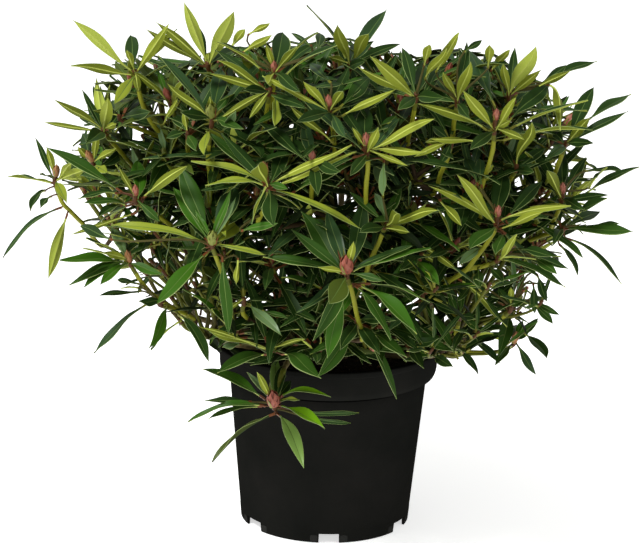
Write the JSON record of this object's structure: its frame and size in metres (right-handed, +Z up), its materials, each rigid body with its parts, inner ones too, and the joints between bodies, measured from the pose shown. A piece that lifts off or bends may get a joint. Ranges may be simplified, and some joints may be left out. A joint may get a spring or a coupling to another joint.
{
  "type": "potted rhododendron",
  "caption": "Broad domed evergreen shrub with long narrow leaves in whorls, growing in a plain round black nursery pot; stands on a patio or garden table.",
  "frame": {"origin": "centre of the pot's foot, on the ground it stands on", "axes": "+Z up, -Y towards the front of the plant, +X to the right seen from the front"},
  "size_m": [0.64, 0.58, 0.545],
  "materials": {
    "pot": "satin",
    "soil": "matte",
    "stem": "matte",
    "bough": "matte",
    "foliage": "satin"
  },
  "bodies": {
    "root": {"bough_crest_1": "bough", "bough_crest_2": "bough", "bough_crest_3": "bough", "bough_droop": "bough", "bough_shoulder_1": "bough", "bough_shoulder_2": "bough", "bough_shoulder_3": "bough", "bough_shoulder_4": "bough", "bough_shoulder_5": "bough", "bough_shoulder_6": "bough", "bough_shoulder_7": "bough", "bough_skirt_1": "bough", "bough_skirt_2": "bough", "bough_skirt_3": "bough", "bough_skirt_4": "bough", "bough_skirt_5": "bough", "bough_skirt_6": "bough", "bough_skirt_7": "bough", "bough_skirt_8": "bough", "foliage_crest_1": "foliage", "foliage_crest_2": "foliage", "foliage_crest_3": "foliage", "foliage_droop": "foliage", "foliage_shoulder_1": "foliage", "foliage_shoulder_2": "foliage", "foliage_shoulder_3": "foliage", "foliage_shoulder_4": "foliage", "foliage_shoulder_5": "foliage", "foliage_shoulder_6": "foliage", "foliage_shoulder_7": "foliage", "foliage_skirt_1": "foliage", "foliage_skirt_2": "foliage", "foliage_skirt_3": "foliage", "foliage_skirt_4": "foliage", "foliage_skirt_5": "foliage", "foliage_skirt_6": "foliage", "foliage_skirt_7": "foliage", "foliage_skirt_8": "foliage", "pot": "pot", "soil": "soil", "stem": "stem"}
  },
  "joints": []
}
